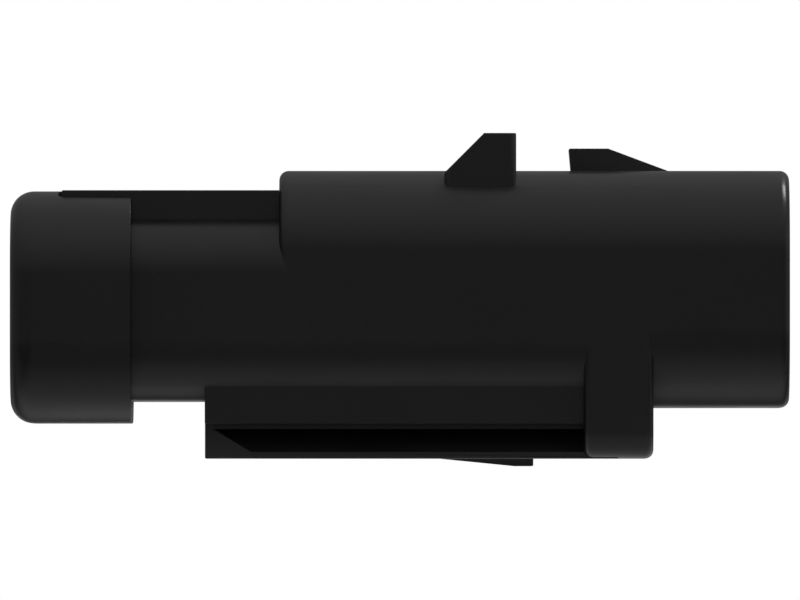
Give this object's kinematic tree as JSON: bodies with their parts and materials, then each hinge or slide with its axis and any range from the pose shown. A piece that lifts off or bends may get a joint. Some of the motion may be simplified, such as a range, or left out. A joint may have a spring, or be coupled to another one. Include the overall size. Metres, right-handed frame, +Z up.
{
  "type": "connector receptacle",
  "caption": "Sealed in-line pin receptacle for two wires, with a latch ramp, a clip rail underneath and an end cap over its wire seal.",
  "frame": {"origin": "on the level of the lowest point, the underside of the locking bump, under the middle of the length and of the width", "axes": "+X out of the mating mouth, along the contacts; +Z up through the latch ramp; +Y across the contacts"},
  "size_m": [0.05, 0.0216, 0.0214],
  "materials": {
    "housing_plastic": "moulded, fine satin texture",
    "cap_plastic": "moulded, fine satin texture",
    "seal_silicone": "moulded silicone, slightly oily",
    "lock_plastic": "moulded, satin",
    "contact_metal": "turned and nickel plated"
  },
  "bodies": {
    "housing_body": {"housing": "housing_plastic", "end_cap": "cap_plastic", "rear_seal": "seal_silicone", "pin_contact_1": "contact_metal", "pin_contact_2": "contact_metal"},
    "wedge_lock_body": {"wedge_lock": "lock_plastic"}
  },
  "joints": [
    {"name": "wedge_lock_slide", "type": "slide", "parent": "housing_body", "child": "wedge_lock_body", "axis": [1, 0, 0], "range_m": [0, 0.03]}
  ]
}
